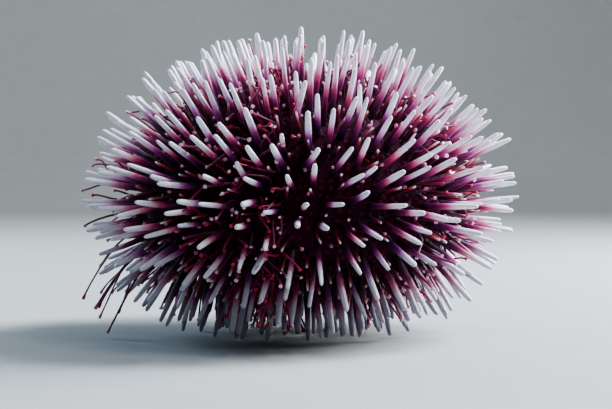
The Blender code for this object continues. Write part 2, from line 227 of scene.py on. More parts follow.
# one mesh of all the copies, with each one's patch of the map, ribs, tone and painted shade
def joinCopies(name, master, copies, material, slotName):
    verts, faces, patches, ribs, along, tones, paintedShades = [], [], [], [], [], [], []
    for copy in copies:
        offset = len(verts) * len(master["verts"])
        verts.append(bentCopy(master, copy))
        faces.extend(tuple(index + offset for index in face) for face in master["faces"])
        across = copy["patch"][0] + (master["loopTurn"] / 1.25 - 0.5) * copy["patchSize"]
        down = copy["patch"][1] + (master["loopAlong"] - 0.5) * copy["patchSize"]
        patches.append(np.stack([across, down], axis=1))
        ribs.append(np.stack([master["loopTurn"], master["loopAlong"]], axis=1))
        along.append(master["along"])
        tones.append(np.full(len(master["verts"]), copy["tone"]))
        # painted shade of each copy, kept as a field for the material
        paintedShades.append(np.full(len(master["verts"]), copy.get("paintedShade", 0.0)))
    mesh = bpy.data.meshes.new(name)
    mesh.from_pydata(np.concatenate(verts).tolist(), [], faces)
    for mapName, values in (("OFBake", patches), ("ribs", ribs)):
        layer = mesh.uv_layers.new(name=mapName)
        layer.data.foreach_set("uv", np.concatenate(values).ravel())
    for fieldName, values in (("along", along), ("tone", tones), ("paintedShade", paintedShades)):
        field = mesh.attributes.new(fieldName, "FLOAT", "POINT")
        field.data.foreach_set("value", np.concatenate(values))
    mesh.shade_smooth()
    piece = bpy.data.objects.new(name, mesh)
    bpy.context.scene.collection.objects.link(piece)
    return dress(piece, material, slotName)


# materials
def hexColour(text):  # as a paint chart writes it, made linear
    parts = [int(text[i : i + 2], 16) / 255 for i in (0, 2, 4)]
    linear = [p / 12.92 if p <= 0.04045 else ((p + 0.055) / 1.055) ** 2.4 for p in parts]
    return (*linear, 1.0)


def addNode(tree, kind, **settings):
    node = tree.nodes.new(kind)
    for name, value in settings.items():
        setattr(node, name, value)
    return node


def newMaterial(name, roughness, **sockets):
    material = bpy.data.materials.new(name)
    material.use_nodes = True
    shader = material.node_tree.nodes["Principled BSDF"]
    shader.inputs["Roughness"].default_value = roughness
    for socket, value in sockets.items():
        shader.inputs[socket.replace("_", " ")].default_value = value
    return material, material.node_tree, shader


def ramp(tree, factor, stops):
    node = addNode(tree, "ShaderNodeValToRGB")
    elements = node.color_ramp.elements
    while len(elements) < len(stops):
        elements.new(1.0)
    for element, (place, colour) in zip(elements, stops):
        element.position = place
        element.color = hexColour(colour)
    tree.links.new(factor, node.inputs["Fac"])
    return node.outputs["Color"]


def mixColour(tree, factor, first, second, blend="MIX"):
    node = addNode(tree, "ShaderNodeMix", data_type="RGBA", blend_type=blend)
    for socket, value in ((node.inputs[0], factor), (node.inputs[6], first), (node.inputs[7], second)):
        if isinstance(value, bpy.types.NodeSocket):
            tree.links.new(value, socket)
        else:
            socket.default_value = value
    return node.outputs[2]


def maths(tree, operation, first, second=0.0, third=None):
    node = addNode(tree, "ShaderNodeMath", operation=operation)
    for index, value in enumerate((first, second, third)):
        if isinstance(value, bpy.types.NodeSocket):
            tree.links.new(value, node.inputs[index])
        elif value is not None:
            node.inputs[index].default_value = value
    return node.outputs[0]


# living skin: grains of one size over soft blotches of another
def fineGrainGroup():
    group = bpy.data.node_groups.new("fineGrain", "ShaderNodeTree")
    face = group.interface
    face.new_socket("Grains per metre", in_out="INPUT", socket_type="NodeSocketFloat")
    face.new_socket("Blotches per metre", in_out="INPUT", socket_type="NodeSocketFloat")
    face.new_socket("Height", in_out="OUTPUT", socket_type="NodeSocketFloat")
    face.new_socket("Blotch", in_out="OUTPUT", socket_type="NodeSocketFloat")
    entry = addNode(group, "NodeGroupInput")
    leave = addNode(group, "NodeGroupOutput")
    place = addNode(group, "ShaderNodeTexCoord")
    grains = addNode(group, "ShaderNodeTexVoronoi", feature="SMOOTH_F1")
    blotches = addNode(group, "ShaderNodeTexNoise")
    blotches.inputs["Detail"].default_value = 4.0
    group.links.new(place.outputs["Object"], grains.inputs["Vector"])
    group.links.new(place.outputs["Object"], blotches.inputs["Vector"])
    group.links.new(entry.outputs[0], grains.inputs["Scale"])
    group.links.new(entry.outputs[1], blotches.inputs["Scale"])
    up = maths(group, "SUBTRACT", 1.0, grains.outputs["Distance"])
    group.links.new(up, leave.inputs[0])
    group.links.new(blotches.outputs["Fac"], leave.inputs[1])
    return group


fineGrain = fineGrainGroup()


def placeGrain(tree, grains, blotches):
    node = addNode(tree, "ShaderNodeGroup", node_tree=fineGrain)
    node.inputs[0].default_value = grains
    node.inputs[1].default_value = blotches
    return node.outputs["Height"], node.outputs["Blotch"]


def addBump(tree, shader, height, strength, distance):
    bump = addNode(tree, "ShaderNodeBump")
    bump.inputs["Strength"].default_value = strength
    bump.inputs["Distance"].default_value = distance
    tree.links.new(height, bump.inputs["Height"])
    tree.links.new(bump.outputs["Normal"], shader.inputs["Normal"])


def grainyMaterial(name, dark, light, roughness, grains, blotches, depth, **sockets):
    material, tree, shader = newMaterial(name, roughness, **sockets)
    height, blotch = placeGrain(tree, grains, blotches)
    spread = maths(tree, "MULTIPLY_ADD", height, 0.35, blotch)
    colour = ramp(tree, spread, [(0.35, dark), (0.85, light)])
    tree.links.new(colour, shader.inputs["Base Color"])
    addBump(tree, shader, height, 0.6, depth)
    return material


def readField(tree, name):
    return addNode(tree, "ShaderNodeAttribute", attribute_name=name).outputs["Fac"]


spineLook = {
    "shine": 0.18,
    "grains": 5200,
    "blotches": 420,
    "drift": 0.16,  # how far the colours move along, from spine to spine and within one
    "hueTurns": 7.0,
    "hueLean": 1.2,  # above 1, more spines are rosy than violet
    "grooveTint": "7A4E80",
    "grooveShare": 0.22,
    "grooveDepth": 0.00012,
}


def spineMaterial(name, rosyStops, violetStops, ribCount, roughness):
    material, tree, shader = newMaterial(name, roughness, Specular_IOR_Level=spineLook["shine"])
    height, blotch = placeGrain(tree, spineLook["grains"], spineLook["blotches"])
    along = readField(tree, "along")
    tone = readField(tree, "tone")
    drift = maths(tree, "MULTIPLY_ADD", tone, spineLook["drift"], -spineLook["drift"] / 2)
    cloud = maths(tree, "MULTIPLY_ADD", blotch, spineLook["drift"], -spineLook["drift"] / 2)
    level = maths(tree, "ADD", maths(tree, "ADD", along, drift), cloud)
    turned = maths(tree, "FRACT", maths(tree, "MULTIPLY", tone, spineLook["hueTurns"]))
    hue = maths(tree, "POWER", turned, spineLook["hueLean"])
    colour = mixColour(tree, hue, ramp(tree, level, rosyStops), ramp(tree, level, violetStops))
    ribMap = addNode(tree, "ShaderNodeUVMap", uv_map="ribs")
    split = addNode(tree, "ShaderNodeSeparateXYZ")
    tree.links.new(ribMap.outputs["UV"], split.inputs[0])
    wave = maths(tree, "SINE", maths(tree, "MULTIPLY", split.outputs["X"], ribCount * 2 * math.pi))
    groove = maths(tree, "MULTIPLY_ADD", wave, 0.5, 0.5)
    inGroove = maths(tree, "MULTIPLY", groove, spineLook["grooveShare"])
    lined = mixColour(tree, inGroove, colour, hexColour(spineLook["grooveTint"]), "MULTIPLY")
    # painted shade: spines towards the mouth side are multiplied darker and greyer
    shadedBelow = mixColour(tree, readField(tree, "paintedShade"), lined, hexColour(spine["shadeTint"]), "MULTIPLY")
    tree.links.new(shadedBelow, shader.inputs["Base Color"])
    relief = maths(tree, "MULTIPLY_ADD", height, 0.3, groove)
    addBump(tree, shader, relief, 0.5, spineLook["grooveDepth"])
    return material


# skin of the shell
skinLook = {
    "dark": "08010A",
    "light": "280214",
    "roughness": 0.9,
    "shine": 0.03,
    "grains": 1500,
    "blotches": 160,
    "grainDepth": 0.0003,
}
skinMaterial = grainyMaterial(
    "darkVioletSkin", skinLook["dark"], skinLook["light"], skinLook["roughness"], skinLook["grains"],
    skinLook["blotches"], skinLook["grainDepth"], Specular_IOR_Level=skinLook["shine"],
)


def makeSkin():
    rows = profileOfShell(shell["down"])
    seat = rows[0][1] - shell["discThickness"]
    roof = rows[-1][1] + shell["membraneThickness"]
    steps = [(rows[0][0], seat)] + [(row[0], row[1]) for row in rows] + [(rows[-1][0], roof)]
    skin = ringForm("shell_skin", shell["around"], steps, closeStart=True)
    addSkinMap(skin)
    names = [zone[0] for zone in zones]
    dress(skin, skinMaterial, "interambulacrum", *names)
    print("skin of the shell:", len(skin.data.polygons), "faces")


# the unwrap of the shell: azimuth across, height down the side
def addSkinMap(skin):
    layer = skin.data.uv_layers.new(name="OFBake")
    points = np.array([skin.data.vertices[loop.vertex_index].co for loop in skin.data.loops])
    turn = np.arctan2(points[:, 1], points[:, 0]) / (2 * math.pi) + 0.5
    start = 0
    for face in skin.data.polygons:
        part = slice(start, start + face.loop_total)
        if np.ptp(turn[part]) > 0.5 and face.loop_total == 4:
            turn[part] = np.where(turn[part] < 0.5, turn[part] + 1, turn[part])
        start += face.loop_total
    radius = np.hypot(points[:, 0], points[:, 1])
    down = np.arctan2(points[:, 2] - widestLevel, radius) / math.pi + 0.5
    layer.data.foreach_set("uv", np.stack([turn * 0.96 + 0.01, down], axis=1).ravel())


# spines
spine = {
    "length": 0.0160,
    "mouthLength": 0.0142,
    "mouthFrom": 0.75,  # shares of the way down, here and for the painted shade
    "thinnest": 0.76,
    "thickest": 1.10,
    "pitch": 0.00520,
    "rowShare": 0.87,
    "lean": 0.075,
    "drift": 0.00060,
    "shortest": 0.84,
    "longest": 1.04,
    "sides": 8,
    "bossRadius": 0.00165,
    "neckRadius": 0.00062,
    "ringRadius": 0.00104,
    "rootRadius": 0.00082,
    "midRadius": 0.00077,
    "tipRadius": 0.00057,
    "collar": 0.0018,  # the foot of a spine, which keeps its size whatever the length
    "reach": 0.0560,
    "bow": 0.0005,
    "shadeTint": "807A8C",  # painted shade: a grey-lavender tint that darkens the spines on the mouth side
    "shadeFrom": 0.55,
    "shadeTo": 0.85,
    "shadeMost": 0.95,
}
smallSpine = {
    "length": 0.0076,
    "shortest": 0.55,
    "longest": 1.30,
    "girth": 0.44,
    "thinnest": 0.85,
    "thickest": 1.15,
    "lean": 0.18,
    "rowOffset": 0.98,  # in rows, so that they stand between the large ones
}
rosyTips = [
    (0.00, "16020E"), (0.12, "2A051E"), (0.28, "4A0932"), (0.41, "861450"), (0.50, "C03E6E"),
    (0.58, "E4869A"), (0.66, "F4CAD4"), (0.75, "FAF0F8"), (1.00, "FDFDFF"),
]
violetTips = [
    (0.00, "120212"), (0.12, "200524"), (0.28, "380B3A"), (0.41, "60185E"), (0.50, "924088"),
    (0.58, "BE8ABC"), (0.66, "E0CAE8"), (0.75, "F2F0FE"), (1.00, "F6FAFF"),
]
rosySmall = [
    (0.00, "16040C"), (0.35, "500A20"), (0.62, "86162E"),
    (0.80, "C85252"), (0.92, "F2C6BE"), (1.00, "FFF2F0"),
]
violetSmall = [
    (0.00, "12040F"), (0.35, "440C2C"), (0.62, "701840"),
    (0.80, "A85078"), (0.92, "E4C0DC"), (1.00, "F8F0FC"),
]
spineColour = spineMaterial("violetToWhiteSpine", rosyTips, violetTips, 16, 0.36)
smallSpineColour = spineMaterial("smallSpine", rosySmall, violetSmall, 8, 0.42)


def makeSpineMaster():
    size = spine["length"]
    steps = [
        (spine["bossRadius"], -0.0004), (spine["neckRadius"], 0.0006),
        (spine["ringRadius"], 0.0011), (spine["rootRadius"], spine["collar"]),
        (spine["midRadius"], size * 0.45), (spine["tipRadius"] * 1.12, size * 0.85),
        (spine["tipRadius"] * 0.92, size * 0.965), (spine["tipRadius"] * 0.45, size),
    ]
    return readMaster(ringForm("spineMaster", spine["sides"], steps), spine["collar"])


# even rows round the whole shell, sorted into the zones: azimuth off the zone's middle, share down
def sitesByZone(pitch, rowOffset=0.5):
    rows = round(profileLength / (pitch * spine["rowShare"]))
    sites = {name: [] for name, _, _ in zones}
    for row in range(rows):
        share = (row + rowOffset) / rows
        if share > 0.995:  # the mouth's rim
            continue
        point, _ = shellAt(share, 0)
        count = round(2 * math.pi * point[0] / pitch)
        for place in range(count):
            azimuth = 2 * math.pi * (place + 0.618 * row) / count  # so that rows never line up
            for name, centre, half in zones:
                off = (azimuth - centre + math.pi) % (2 * math.pi) - math.pi
                if abs(off) <= half:
                    sites[name].append((off, share))
                    break
    return sites


keptShare = 0.72  # the least of its length that a spine keeps where the floor shortens it
turnStep = 0.06


# shortens a spine, or turns it up, so that it ends on or over the floor
def standClear(root, axis, length, least=0.0003):
    axis = axis / np.linalg.norm(axis)
    for _ in range(40):
        tip = root + axis * length
        if tip[2] >= least:
            return axis, length
        shorter = (root[2] - least) / -axis[2]
        if shorter > keptShare * length:
            return axis, shorter
        axis = axis + np.array([0, 0, turnStep])
        axis /= np.linalg.norm(axis)
    return axis, length


# root, axis and length of a spine that leans at random, stays within reach and stands on the floor
def growSpine(azimuth, share, chance, lean, length):
    along = share + chance.gauss(0, spine["drift"]) / profileLength
    turn = azimuth + chance.gauss(0, spine["drift"]) / shell["radius"]
    point, normal = shellAt(min(0.99, max(0.01, along)), turn)
    axis = normal + np.array([chance.gauss(0, lean) for _ in range(3)])
    axis /= np.linalg.norm(axis)
    over = math.hypot(*(point + axis * length)[:2]) - spine["reach"]
    axis, length = standClear(point, axis, length - max(0.0, over))
    rimRadius = math.hypot(*point[:2])
    if math.hypot(*(point + axis * length)[:2]) < rimRadius * 0.9:  # it would lie over the disc or mouth
        axis = np.array([axis[0] * 0.3, axis[1] * 0.3, axis[2]])
    return point, axis / np.linalg.norm(axis), length


def patchFor(azimuth, half, share):  # a place on the zone's own unwrap, which fills the map
    return 0.5 + azimuth / half * 0.46, 0.98 - share * 0.96


# joins what makeCopy puts on the sites into one mesh for each zone
def growOver(prefix, master, material, sites, patchSize, makeCopy):
    total = 0
    for name, centre, half in zones:
        copies = []
        for azimuth, share in sites[name]:
            copy = makeCopy(centre + azimuth, share)
            copy["patch"] = patchFor(azimuth, half, share)
            copy["patchSize"] = patchSize
            copies.append(copy)
        total += len(copies)
        joinCopies(f"{prefix}_{name}", master, copies, material, name.split("_")[0])
    print(f"{prefix}: {total}")


def makeSpines():
    master = makeSpineMaster()
    chance = random.Random(31)

    def oneSpine(azimuth, share):
        full = np.interp(share, [spine["mouthFrom"], 1], [spine["length"], spine["mouthLength"]])
        length = full * chance.uniform(spine["shortest"], spine["longest"])
        root, axis, length = growSpine(azimuth, share, chance, spine["lean"], length)
        bend = np.array([chance.gauss(0, spine["bow"]) for _ in range(3)])
        bend[2] = abs(bend[2])
        # painted shade, which grows from none to most over the lower part of the shell
        paintedShade = np.interp(share, [spine["shadeFrom"], spine["shadeTo"]], [0, spine["shadeMost"]])
        return {
            "root": root, "axis": axis, "length": length, "bend": bend, "paintedShade": paintedShade,
            "girth": chance.uniform(spine["thinnest"], spine["thickest"]), "tone": chance.random(),
        }

    growOver("spines", master, spineColour, sitesByZone(spine["pitch"]), spinePatch, oneSpine)
    makeSmallSpines(master)


def makeSmallSpines(master):
    chance = random.Random(47)

    def oneSpine(azimuth, share):
        length = smallSpine["length"] * chance.uniform(smallSpine["shortest"], smallSpine["longest"])
        root, axis, length = growSpine(azimuth, share, chance, smallSpine["lean"], length)
        girth = smallSpine["girth"] * chance.uniform(smallSpine["thinnest"], smallSpine["thickest"])
        return {"root": root, "axis": axis, "length": length, "girth": girth, "tone": chance.random()}

    sites = sitesByZone(spine["pitch"], smallSpine["rowOffset"])
    growOver("small_spines", master, smallSpineColour, sites, spinePatch, oneSpine)


# tube feet, long and thin, with a sucker on the end
foot = {
    "length": 0.0108,
    "masterLength": 0.0150,
    "shortest": 0.55,
    "longest": 1.05,
    "longLength": 0.0190,
    "longShortest": 0.8,
    "longShare": 0.03,
    "longZone": (0.12, 0.50),  # shares of the way down
    "columns": (0.38, 0.78),  # shares of the half width
    "columnDrift": 0.1,
    "pitch": 0.0034,
    "stalkRadius": 0.00028,
    "suckerRadius": 0.00047,
    "thinnest": 0.85,
    "thickest": 1.15,
    "lean": 0.16,
    "bow": 0.0018,
    "curl": 0.0015,
    "sag": 0.0050,
    "sagLeast": 0.2,
    "sagMost": 1.1,
    "shortSag": 0.4,
    "tipClearance": 0.0040,
    "clearance": 0.0012,
    "shortInset": 0.0040,
    "redFrom": 0.55,  # tones above this are red
    "calmTones": 0.65,
    "crowdedZone": "ambulacrum_1",  # faces the viewer, over the middle
    "crowdedColumns": (0.16, 0.38, 0.60, 0.84),
    "crowdedTones": 1.0,
    "reachingZone": "ambulacrum_5",  # hangs down at the viewer's left
    "reachingShare": 0.34,
    "reachingSag": 0.0105,
    "reachingTo": 0.72,
}
footStops = [
    (0.0, "2A041C"), (0.4, "4C0C30"), (0.8, "60163E"), (0.93, "802A50"), (0.97, "B86888"), (1.0, "EAC0D0"),
]
redFootStops = [
    (0.0, "360216"), (0.4, "5A0424"), (0.8, "70082E"), (0.93, "800A32"), (0.97, "960E36"), (1.0, "A81640"),
]


def footMaterialOf():
    material, tree, shader = newMaterial("tubeFoot", 0.45, Specular_IOR_Level=0.15)
    height, blotch = placeGrain(tree, 4200, 700)
    level = maths(tree, "ADD", readField(tree, "along"), maths(tree, "MULTIPLY_ADD", blotch, 0.08, -0.04))
    isRed = maths(tree, "GREATER_THAN", readField(tree, "tone"), foot["redFrom"])
    colour = mixColour(tree, isRed, ramp(tree, level, footStops), ramp(tree, level, redFootStops))
    tree.links.new(colour, shader.inputs["Base Color"])
    addBump(tree, shader, height, 0.4, 0.00008)
    return material


footColour = footMaterialOf()


def makeFootMaster(size, girth):
    stalk = foot["stalkRadius"] * girth
    sucker = foot["suckerRadius"] * girth
    steps = [(stalk * 1.7, -0.0003), (stalk * 1.25, size * 0.08)]
    steps += [(stalk * (1.12 - 0.25 * share), size * share) for share in np.linspace(0.20, 0.86, 6)]
    steps += [
        (stalk * 0.95, size * 0.945), (sucker * 0.85, size * 0.965), (sucker, size * 0.985),
        (sucker * 0.8, size), (sucker * 0.3, size * 0.985),
    ]
    return readMaster(ringForm("footMaster", 8, steps), 0.0)


def makeFeet():
    master = makeFootMaster(foot["masterLength"], 1.0)
    chance = random.Random(5)
    total = 0
    for name, centre, half in zones:
        if not name.startswith("ambulacrum"):
            continue
        reaching = name == foot["reachingZone"]
        crowded = name == foot["crowdedZone"]
        columns = foot["crowdedColumns"] if crowded else foot["columns"]
        tones = foot["crowdedTones"] if crowded else foot["calmTones"]
        longShare = foot["reachingShare"] if reaching else foot["longShare"]
        longFrom, longTo = foot["longZone"]
        if reaching:
            longTo = foot["reachingTo"]
        copies = []
        rows = round(profileLength / foot["pitch"])
        for row in range(rows):
            share = (row + 0.5) / rows
            for side in (-1, 1):
                for column in columns:
                    drift = chance.uniform(-foot["columnDrift"], foot["columnDrift"])
                    azimuth = side * half * (column + drift)
                    isLong = chance.random() < longShare and longFrom < share < longTo
                    full = foot["longLength"] if isLong else foot["length"]
                    least = foot["longShortest"] if isLong else foot["shortest"]
                    length = full * chance.uniform(least, foot["longest"])
                    point, normal = shellAt(share, centre + azimuth)
                    axis = normal + np.array([chance.gauss(0, foot["lean"]) for _ in range(3)])
                    sag = foot["reachingSag"] if reaching and isLong else foot["sag"]
                    bend = np.array([chance.gauss(0, foot["bow"]), chance.gauss(0, foot["bow"]), 0.0])
                    sag *= chance.uniform(foot["sagLeast"], foot["sagMost"])
                    bend[2] = -sag * (1.0 if isLong else foot["shortSag"])
                    axis, length = standClear(point, axis, length, foot["tipClearance"])
                    curl = np.array([chance.gauss(0, foot["curl"]) for _ in range(3)])
                    copy = {
                        "root": point, "axis": axis, "length": length, "bend": bend, "curl": curl,
                        "girth": chance.uniform(foot["thinnest"], foot["thickest"]),
                        "tone": chance.random() * tones,
                        "patch": patchFor(azimuth, half, share), "patchSize": finePatch,
                    }
                    inset = 0.0 if isLong else foot["shortInset"]
                    keepInside(copy, foot["clearance"], spine["reach"] - inset)
                    copies.append(copy)
        total += len(copies)
        joinCopies("tube_feet_" + name[-1], master, copies, footColour, "ambulacrum")
    print("tube feet:", total)


# pincers on stalks, which stand between the spines
pincer = {
    "length": 0.0056,
    "stalkRadius": 0.00013,
    "headRadius": 0.00040,
    "pitch": 0.0072,
    "rowOffset": 0.3,
    "shortest": 0.7,
    "longest": 1.3,
    "thinnest": 0.8,
    "thickest": 1.25,
    "lean": 0.30,
    "bow": 0.0008,
    "stops": [(0.0, "32020F"), (0.7, "5A0A24"), (0.84, "822044"), (0.92, "C08098"), (1.0, "98466A")],
}


def makePincers():
    stalk = pincer["stalkRadius"]
    head = pincer["headRadius"]
    size = pincer["length"]
    steps = [
        (stalk * 1.8, -0.0002), (stalk, size * 0.1), (stalk * 0.9, size * 0.8), (head * 0.8, size * 0.86),
        (head, size * 0.91), (head * 0.75, size * 0.96), (head * 0.25, size),
    ]
    master = readMaster(ringForm("pincerMaster", 8, steps), 0.0)
    material, tree, shader = newMaterial("pincerSkin", 0.45, Specular_IOR_Level=0.2)
    height, blotch = placeGrain(tree, 5000, 900)
    level = maths(tree, "ADD", readField(tree, "along"), maths(tree, "MULTIPLY_ADD", blotch, 0.1, -0.05))
    tree.links.new(ramp(tree, level, pincer["stops"]), shader.inputs["Base Color"])
    addBump(tree, shader, height, 0.4, 0.00008)
    chance = random.Random(83)

    def onePincer(azimuth, share):
        length = size * chance.uniform(pincer["shortest"], pincer["longest"])
        root, axis, length = growSpine(azimuth, share, chance, pincer["lean"], length)
        girth = chance.uniform(pincer["thinnest"], pincer["thickest"])
        bend = np.array([chance.gauss(0, pincer["bow"]) for _ in range(3)])
        return {
            "root": root, "axis": axis, "length": length, "girth": girth, "bend": bend,
            "tone": chance.random(),
        }

    sites = sitesByZone(pincer["pitch"], pincer["rowOffset"])
    growOver("pincers", master, material, sites, finePatch, onePincer)


# low bosses on the shell between the spines, left by its plates
tubercle = {
    "radius": 0.00056,
    "rise": 0.00030,
    "sides": 7,
    "pitch": 0.0023,
    "rowOffset": 0.6,
    "sideDrift": 0.008,  # radians
    "downDrift": 0.004,
    "smallest": 0.5,
    "largest": 1.25,
    "dark": "14020A",
    "light": "44081F",
    "roughness": 0.7,
    "shine": 0.03,
    "grains": 4200,
    "blotches": 300,
    "grainDepth": 0.0001,
}


def makeTubercles():
    radius = tubercle["radius"]
    rise = tubercle["rise"]
    steps = [
        (radius * 1.3, -0.0002), (radius, rise * 0.4), (radius * 0.55, rise * 0.9), (radius * 0.2, rise),
    ]
    master = readMaster(ringForm("tubercleMaster", tubercle["sides"], steps), 0.0)
    look = grainyMaterial(
        "tubercleSkin", tubercle["dark"], tubercle["light"], tubercle["roughness"], tubercle["grains"],
        tubercle["blotches"], tubercle["grainDepth"], Specular_IOR_Level=tubercle["shine"],
    )
    chance = random.Random(21)

    def oneTubercle(azimuth, share):
        turn = azimuth + chance.gauss(0, tubercle["sideDrift"])
        root, axis = shellAt(min(0.995, share + chance.gauss(0, tubercle["downDrift"])), turn)
        size = chance.uniform(tubercle["smallest"], tubercle["largest"])
        return {"root": root, "axis": axis, "length": rise * size, "girth": size, "tone": chance.random()}

    sites = sitesByZone(tubercle["pitch"], tubercle["rowOffset"])
    growOver("tubercles", master, look, sites, finePatch, oneTubercle)


# plates round the anus, on top of the shell
disc = {
    "genitalPlace": 0.0047,
    "genitalRadius": 0.0024,
    "ocularPlace": 0.0060,
    "ocularRadius": 0.0014,
    "plateRise": 0.0007,
    "sievePlate": 1,  # which of the five large plates has the fine pores
    "spineLength": 0.0066,
    "spineGirth": 0.72,
    "spineDegs": (-24, 0, 24),
    "spineRise": 5.0,  # the height that a spine's axis gains over its way out
    "spineLean": 0.08,
    "anusRadius": 0.0026,
    "anusRise": 0.0012,
    "anusPleats": 14,
    "anusRows": ((11, 0.0020, 0.00044), (8, 0.0015, 0.00030)),  # count, place and radius of small plates
    "mapWidth": 0.0160,
    "dark": "12030A",
    "light": "4A1430",
}
topSeat = profile[0][1] - shell["discThickness"]
topFace = profile[0][1]


def onRing(place, azimuth, level):
    return np.array([place * math.cos(azimuth), place * math.sin(azimuth), level])


# a plate is raised from a flat outline, stepped in twice and rounded
def plateForm(sides, radius, rise, place, azimuth, level, pore=0.0):
    clearSelection()
    spot = onRing(place, azimuth, level - 0.0006)
    bpy.ops.mesh.primitive_circle_add(
        vertices=sides, radius=radius, fill_type="NGON", location=spot, rotation=(0, 0, azimuth)
    )
    plate = bpy.context.object
    bpy.ops.object.transform_apply(location=True, rotation=True)
    bpy.ops.object.mode_set(mode="EDIT")
    bpy.ops.mesh.select_all(action="SELECT")
    up = (0, 0, 0.0006 + rise * 0.8)
    bpy.ops.mesh.extrude_region_move(TRANSFORM_OT_translate={"value": up})
    bpy.ops.mesh.inset(thickness=radius * 0.10, depth=rise * 0.25)
    bpy.ops.mesh.inset(thickness=radius * 0.55, depth=rise * 0.15)
    if pore:  # the opening lies towards the plate's outer end
        bpy.ops.transform.translate(value=tuple(onRing(pore * radius, azimuth, 0)))
        bpy.ops.mesh.inset(thickness=radius * 0.12, depth=-rise * 0.9)
    bpy.ops.mesh.select_all(action="SELECT")
    bpy.ops.mesh.normals_make_consistent(inside=False)
    bpy.ops.object.mode_set(mode="OBJECT")
    rounding = plate.modifiers.new("rounding", "SUBSURF")
    rounding.levels = 2
    rounding.render_levels = 2
    bpy.ops.object.modifier_apply(modifier="rounding")
    bpy.ops.object.shade_smooth()
    return plate


def joinForms(name, forms):
    clearSelection()
    for form in forms:
        form.select_set(True)
    bpy.context.view_layer.objects.active = forms[0]
    bpy.ops.object.join()
    forms[0].name = name
    return forms[0]


# vertex moves by hand: the change takes and gives back an array of points
def reshape(form, change):
    points = np.zeros(len(form.data.vertices) * 3)
    form.data.vertices.foreach_get("co", points)
    moved = change(points.reshape(-1, 3))
    form.data.vertices.foreach_set("co", moved.ravel())
    form.data.update()


def sieveMaterialOf():
    material, tree, shader = newMaterial("sievePlate", 0.6)
    height, blotch = placeGrain(tree, 4600, 600)
    isPore = maths(tree, "GREATER_THAN", height, 0.66)
    plain = ramp(tree, blotch, [(0.3, "5A2A40"), (0.7, "8C5A70")])
    tree.links.new(mixColour(tree, isPore, plain, hexColour("0A0205")), shader.inputs["Base Color"])
    addBump(tree, shader, maths(tree, "SUBTRACT", 1.0, isPore), 0.8, 0.00015)
    return material


def makeDisc():
    back = topSeat + shell["gap"]
    plateMaterial = grainyMaterial("discPlate", disc["dark"], disc["light"], 0.55, 3600, 500, 0.0002)
    pan = disc["anusRadius"] + shell["gap"]
    steps = [
        (shell["discRadius"], back), (shell["discRadius"], topFace - 0.0003), (0.0069, topFace),
        (pan + 0.0002, topFace), (pan, topFace - 0.0002), (pan, back + 0.0002), (0.0004, back + 0.0002),
    ]
    base = ringForm("disc_base", 80, steps, closeStart=True)
    dress(base, plateMaterial, "apical_plates", "apical_disc")
    large, small, copies = [], [], []
    for number in range(5):
        ray = rayAngle(number)
        between = rayAngle(number + 0.5)
        radius = disc["genitalRadius"]
        large.append(plateForm(6, radius, disc["plateRise"], disc["genitalPlace"], between, topFace, 0.3))
        small.append(plateForm(5, disc["ocularRadius"], 0.0005, disc["ocularPlace"], ray, topFace, 0.2))
        for off in disc["spineDegs"]:
            azimuth = between + math.radians(off)
            root = onRing(disc["ocularPlace"] - 0.0002, azimuth, topFace + disc["plateRise"] * 0.8)
            copies.append((root, disc["spineLength"]))
        root = onRing(disc["ocularPlace"], ray, topFace + 0.0004)
        copies.append((root, disc["spineLength"] * 0.7))
    sieve = large.pop(disc["sievePlate"])
    sieve.name = "sieve_plate"
    dress(sieve, sieveMaterialOf(), "apical_plates")
    dress(joinForms("large_plates", large), plateMaterial, "apical_plates")
    dress(joinForms("eye_plates", small), plateMaterial, "apical_plates")
    chance = random.Random(12)
    for index, (root, length) in enumerate(copies):
        lean = np.array([chance.gauss(0, disc["spineLean"]) for _ in range(3)])
        axis = root * disc["spineRise"] + np.array([0, 0, 1.0]) + lean
        length *= chance.uniform(0.85, 1.1)
        copies[index] = {
            "root": root, "axis": axis, "length": length, "girth": disc["spineGirth"],
            "tone": chance.random(), "patch": tuple(0.5 + root[:2] / disc["mapWidth"]),
            "patchSize": spinePatch,
        }
    joinCopies("disc_spines", makeSpineMaster(), copies, spineColour, "apical_plates")
    makeAnus(back, plateMaterial)
    print("plates on top: disc, sieve plate and", len(copies), "spines")


def makeAnus(back, plateMaterial):
    top = topFace + disc["anusRise"]
    steps = [
        (disc["anusRadius"], back + 0.0003), (disc["anusRadius"], topFace - 0.0002),
        (0.0024, topFace + 0.0001), (0.0018, topFace + 0.0006), (0.0013, top - 0.0001), (0.0011, top),
        (0.0008, top - 0.0001), (0.0006, topFace + 0.0002), (0.0003, topFace),
    ]
    cone = ringForm("anus_cone", 64, steps, closeStart=True)

    def pleat(points):
        radius = np.hypot(points[:, 0], points[:, 1])
        turn = np.arctan2(points[:, 1], points[:, 0])
        near = np.clip(1 - np.abs(radius - 0.0011) / 0.0006, 0, 1)
        points[:, 2] += 0.00012 * near * np.sin(disc["anusPleats"] * turn)
        return points

    reshape(cone, pleat)
    fold = grainyMaterial("anusSkin", "1C0610", "5C2038", 0.45, 3000, 700, 0.0002)
    dress(cone, fold, "apical_plates", "periproct")
    plates = []
    for count, place, radius in disc["anusRows"]:
        level = topFace + 0.0001 + (0.0024 - place) * 0.85
        for number in range(count):
            azimuth = 2 * math.pi * (number + count * 0.05) / count
            plates.append(plateForm(6, radius, 0.0002, place, azimuth, level))
    dress(joinForms("anus_plates", plates), plateMaterial, "apical_plates")


